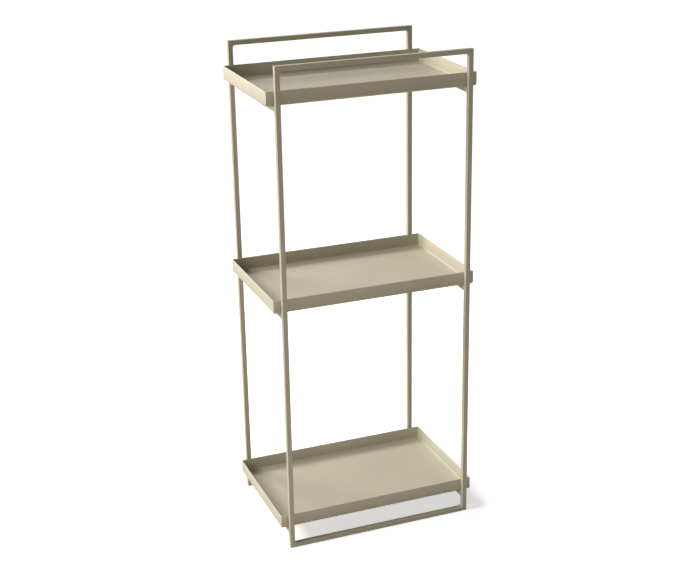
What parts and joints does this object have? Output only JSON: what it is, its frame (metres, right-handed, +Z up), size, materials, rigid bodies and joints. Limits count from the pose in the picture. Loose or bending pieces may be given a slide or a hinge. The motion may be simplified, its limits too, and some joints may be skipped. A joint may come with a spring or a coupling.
{
  "type": "shelving unit",
  "caption": "Slim open shelving unit: tall rectangular loops of square tube at front and rear carry shallow folded trays with upturned edges.",
  "frame": {"origin": "on the floor, under the middle of the unit", "axes": "+Z up, +X to the right as seen from the front, the front at -Y"},
  "size_m": [0.43, 0.298, 1],
  "materials": {
    "frame_paint": "satin beige-olive powder coat on welded square steel tube",
    "tray_paint": "satin beige-olive powder coat on folded sheet steel",
    "zinc_steel": "bright zinc plating on small fasteners"
  },
  "bodies": {
    "root": {"front_left_upright": "frame_paint", "front_right_upright": "frame_paint", "front_top_bar": "frame_paint", "front_bottom_bar": "frame_paint", "front_corner_welds": "frame_paint", "rear_left_upright": "frame_paint", "rear_right_upright": "frame_paint", "rear_top_bar": "frame_paint", "rear_bottom_bar": "frame_paint", "rear_corner_welds": "frame_paint", "top_left_rail": "frame_paint", "top_right_rail": "frame_paint", "top_rail_welds": "frame_paint", "top_tray": "tray_paint", "top_tray_studs": "zinc_steel", "top_tray_nuts": "zinc_steel", "middle_left_rail": "frame_paint", "middle_right_rail": "frame_paint", "middle_rail_welds": "frame_paint", "middle_tray": "tray_paint", "middle_tray_studs": "zinc_steel", "middle_tray_nuts": "zinc_steel", "bottom_left_rail": "frame_paint", "bottom_right_rail": "frame_paint", "bottom_rail_welds": "frame_paint", "bottom_tray": "tray_paint", "bottom_tray_studs": "zinc_steel", "bottom_tray_nuts": "zinc_steel"}
  },
  "joints": []
}
